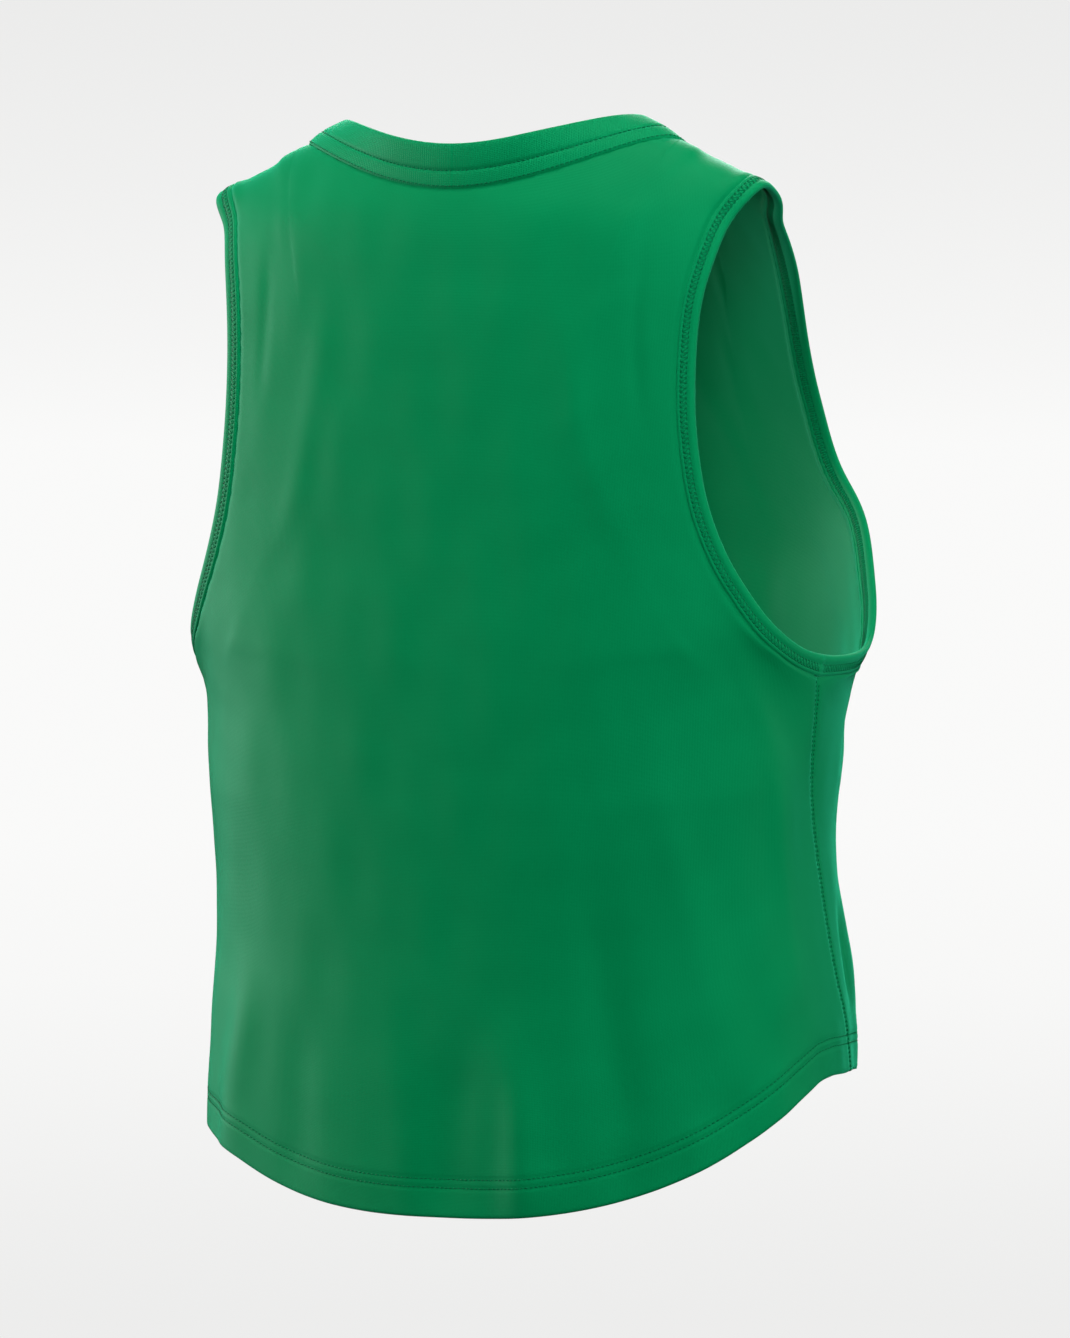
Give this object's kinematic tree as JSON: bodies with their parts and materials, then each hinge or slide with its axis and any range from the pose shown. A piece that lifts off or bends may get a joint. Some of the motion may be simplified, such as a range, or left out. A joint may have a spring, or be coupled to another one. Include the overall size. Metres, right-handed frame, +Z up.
{
  "type": "crop tank top",
  "caption": "Sleeveless cropped knit top with a round neckband, bound armholes and a dipped back hem, standing open as worn.",
  "frame": {"origin": "point between the shoulders, level with the neck seam where it crosses the shoulder ridges", "axes": "+Z up along the body, front towards -Y, the wearer's left at +X"},
  "size_m": [0.354, 0.229, 0.5494],
  "materials": {
    "back_knit": "matte knit",
    "front_knit": "matte knit",
    "neckband_knit": "matte rib knit",
    "left_binding_knit": "matte knit",
    "right_binding_knit": "matte knit"
  },
  "bodies": {
    "root": {"back_panel": "back_knit", "front_panel": "front_knit", "neckband": "neckband_knit", "armhole_binding_left": "left_binding_knit", "armhole_binding_right": "right_binding_knit"}
  },
  "joints": []
}
